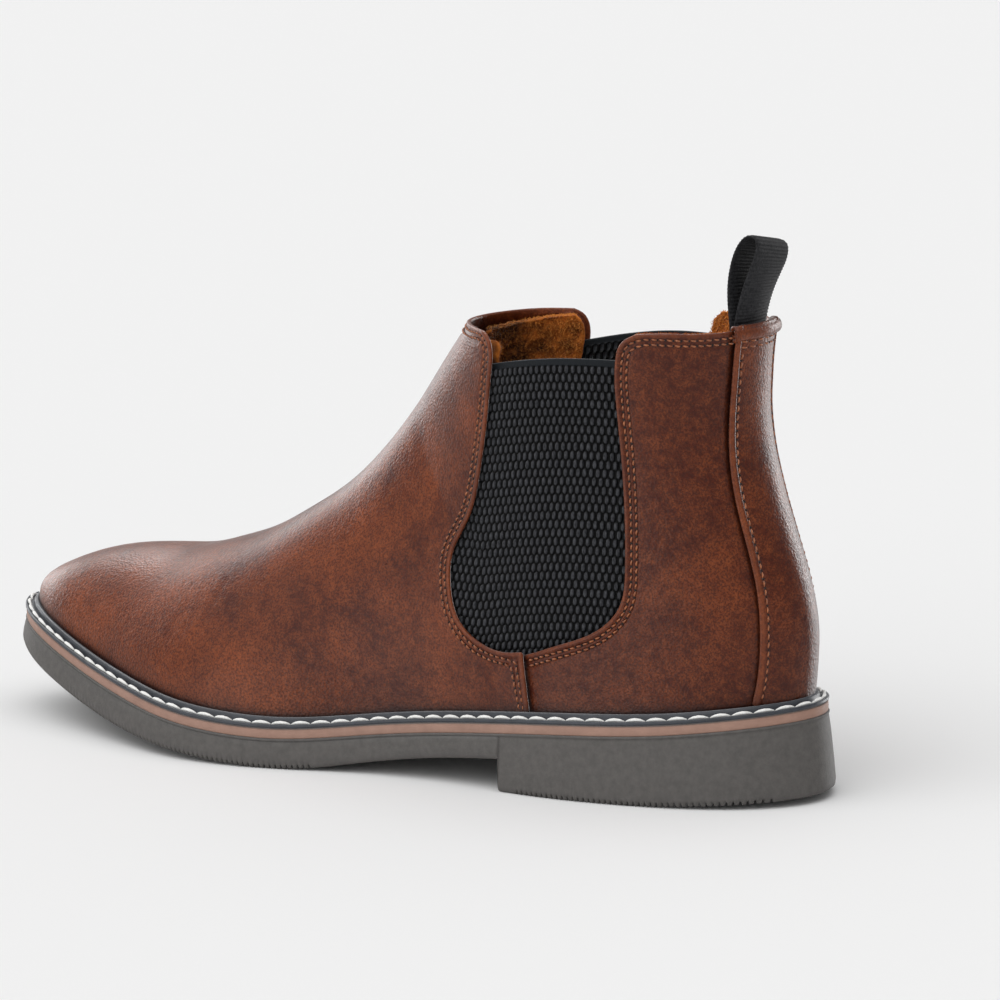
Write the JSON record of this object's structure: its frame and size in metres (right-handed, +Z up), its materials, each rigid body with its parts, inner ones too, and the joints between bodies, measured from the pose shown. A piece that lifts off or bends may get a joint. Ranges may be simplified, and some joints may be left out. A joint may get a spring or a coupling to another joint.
{
  "type": "chelsea boot",
  "caption": "Ankle-high slip-on leather boot for the left foot, with elastic side panels, a back pull loop, a stitched welt and a low rubber heel.",
  "frame": {"origin": "middle of the bounding box in plan, on the ground under the sole", "axes": "+Z up, +Y towards the heel (the toe points along -Y), +X towards the outer side of the left foot"},
  "size_m": [0.1035, 0.3121, 0.1781],
  "materials": {
    "leather": "burnished brown, semi-gloss",
    "lining": "short orange-brown plush",
    "elastic": "black woven elastic with a knotted rib",
    "webbing": "black grosgrain webbing",
    "thread": "orange-brown sewing thread",
    "white_thread": "off-white welt thread",
    "welt": "black, satin",
    "midsole": "brown, matt",
    "rubber": "dark grey, matt",
    "board": "fibre board",
    "steel": "tempered strip",
    "cork": "cork compound",
    "stiffener": "thermoplastic sheet",
    "sock": "foam backed fabric"
  },
  "bodies": {
    "boot": {"outsole": "rubber", "midsole": "midsole", "welt": "welt", "welt_stitch": "white_thread", "shank": "steel", "insole_board": "board", "sock_liner": "sock", "vamp": "leather", "gore_outer": "elastic", "gore_inner": "elastic", "vamp_lining": "lining", "heel_counter": "stiffener", "vamp_thread_1": "thread", "vamp_thread_2": "thread"},
    "forepart": {"toe_puff": "stiffener", "bottom_filler": "cork"},
    "shaft_back": {"quarter_outer": "leather", "quarter_inner": "leather", "quarter_lining": "lining", "back_strip": "leather", "quarter_thread_outer_1": "thread", "quarter_thread_outer_2": "thread", "quarter_thread_inner_1": "thread", "quarter_thread_inner_2": "thread", "strip_thread_outer": "thread", "strip_thread_inner": "thread"},
    "loop": {"pull_loop": "webbing"}
  },
  "joints": [
    {"name": "forefoot_flex", "type": "hinge", "parent": "boot", "child": "forepart", "pos_m": [-0.0018, -0.05075, 0.012], "axis": [-1, 0, 0], "range_deg": [0, 32], "stiffness_Nm_per_rad": 3, "deforming": ["outsole", "midsole", "welt", "welt_stitch", "insole_board", "sock_liner", "vamp", "vamp_lining"]},
    {"name": "shaft_opening", "type": "hinge", "parent": "boot", "child": "shaft_back", "pos_m": [0.0012, 0.11525, 0.066], "axis": [-1, 0, 0], "range_deg": [0, 10], "stiffness_Nm_per_rad": 6, "deforming": ["gore_outer", "gore_inner", "quarter_outer", "quarter_inner", "quarter_lining", "back_strip", "quarter_thread_outer_1", "quarter_thread_outer_2", "quarter_thread_inner_1", "quarter_thread_inner_2", "strip_thread_outer", "strip_thread_inner"]},
    {"name": "pull_loop_fold", "type": "hinge", "parent": "shaft_back", "child": "loop", "pos_m": [0.0012, 0.13485, 0.148], "axis": [1, 0, 0], "range_deg": [-75, 55], "stiffness_Nm_per_rad": 0.02, "deforming": ["pull_loop"]}
  ]
}
